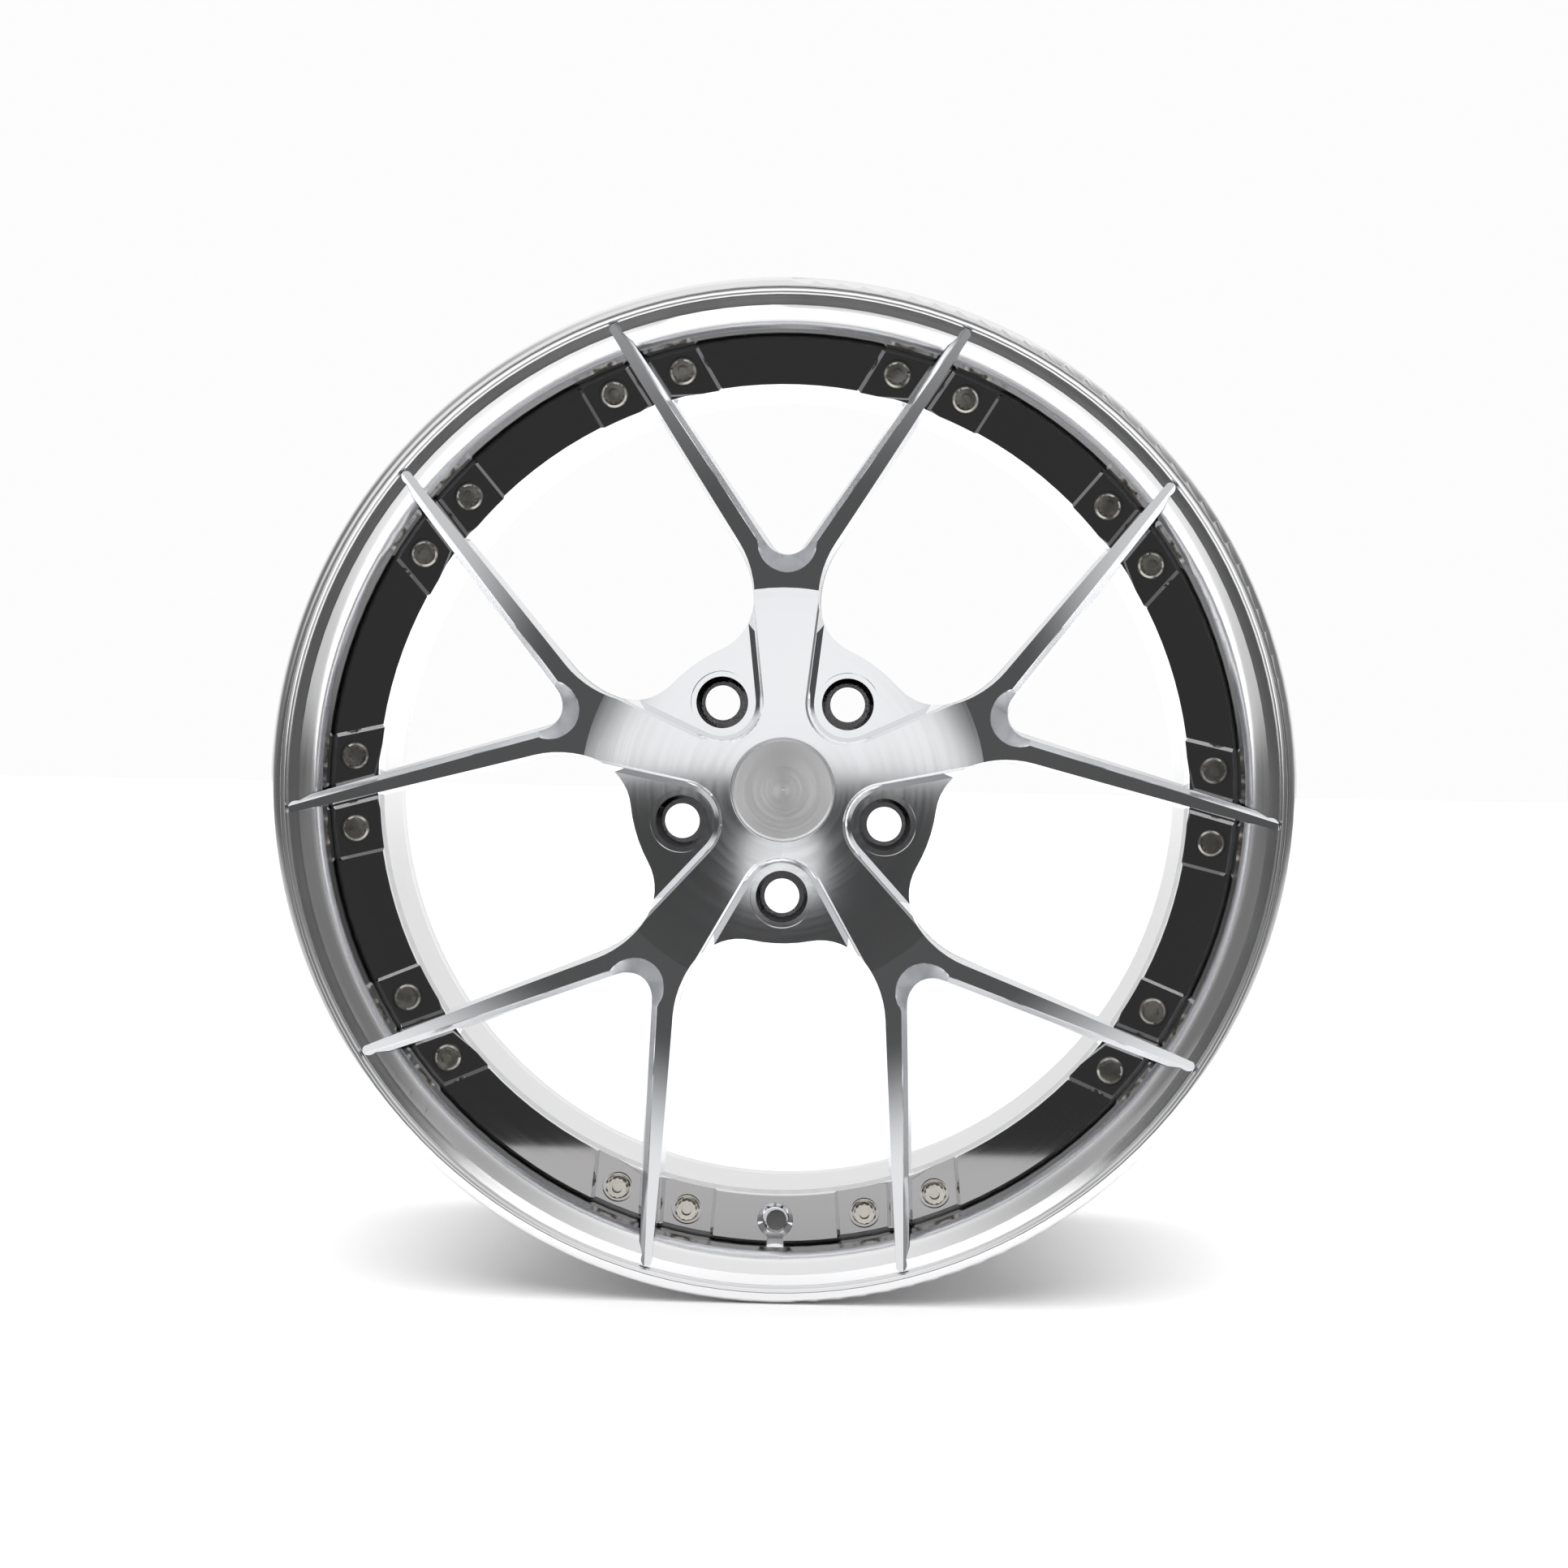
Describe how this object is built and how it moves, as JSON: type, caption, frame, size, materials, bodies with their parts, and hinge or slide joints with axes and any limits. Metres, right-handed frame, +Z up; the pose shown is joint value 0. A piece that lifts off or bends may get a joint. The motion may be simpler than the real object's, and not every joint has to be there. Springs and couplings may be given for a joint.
{
  "type": "wheel rim",
  "caption": "Forged bolted racing wheel: dished Y-spoke centre clamped to a split rim by a ring of bolts, with a pull-off centre cap.",
  "frame": {"origin": "centre of the hub mounting face, on the wheel axis", "axes": "+Y along the wheel axis from the styled front face towards the vehicle hub, +Z up with one spoke pointing up, +X to the right seen from the front"},
  "size_m": [0.552, 0.2678, 0.552],
  "materials": {
    "lip_aluminium": "polished",
    "barrel_aluminium": "satin turned",
    "seal_rubber": "matte",
    "forged_aluminium": "brushed",
    "bolt_steel": "satin plated",
    "washer_steel": "satin plated",
    "nut_steel": "satin plated",
    "cap_aluminium": "fine turned",
    "cap_plastic": "matte",
    "spring_steel": "drawn wire",
    "ring_rubber": "matte"
  },
  "bodies": {
    "wheel": {"outer_lip": "lip_aluminium", "inner_barrel": "barrel_aluminium", "barrel_seal": "seal_rubber", "wheel_centre": "forged_aluminium", "assembly_bolts_spoke_1": "bolt_steel", "assembly_bolts_spoke_2": "bolt_steel", "assembly_bolts_spoke_3": "bolt_steel", "assembly_bolts_spoke_4": "bolt_steel", "assembly_bolts_spoke_5": "bolt_steel", "nut_washers_spoke_1": "washer_steel", "nut_washers_spoke_2": "washer_steel", "nut_washers_spoke_3": "washer_steel", "nut_washers_spoke_4": "washer_steel", "nut_washers_spoke_5": "washer_steel", "assembly_nuts_spoke_1": "nut_steel", "assembly_nuts_spoke_2": "nut_steel", "assembly_nuts_spoke_3": "nut_steel", "assembly_nuts_spoke_4": "nut_steel", "assembly_nuts_spoke_5": "nut_steel"},
    "centre_cap": {"cap_face": "cap_aluminium", "cap_body": "cap_plastic", "cap_spring_ring": "spring_steel", "cap_o_ring": "ring_rubber"}
  },
  "joints": [
    {"name": "cap_pull", "type": "slide", "parent": "wheel", "child": "centre_cap", "axis": [0, -1, 0], "range_m": [0, 0.03]}
  ]
}
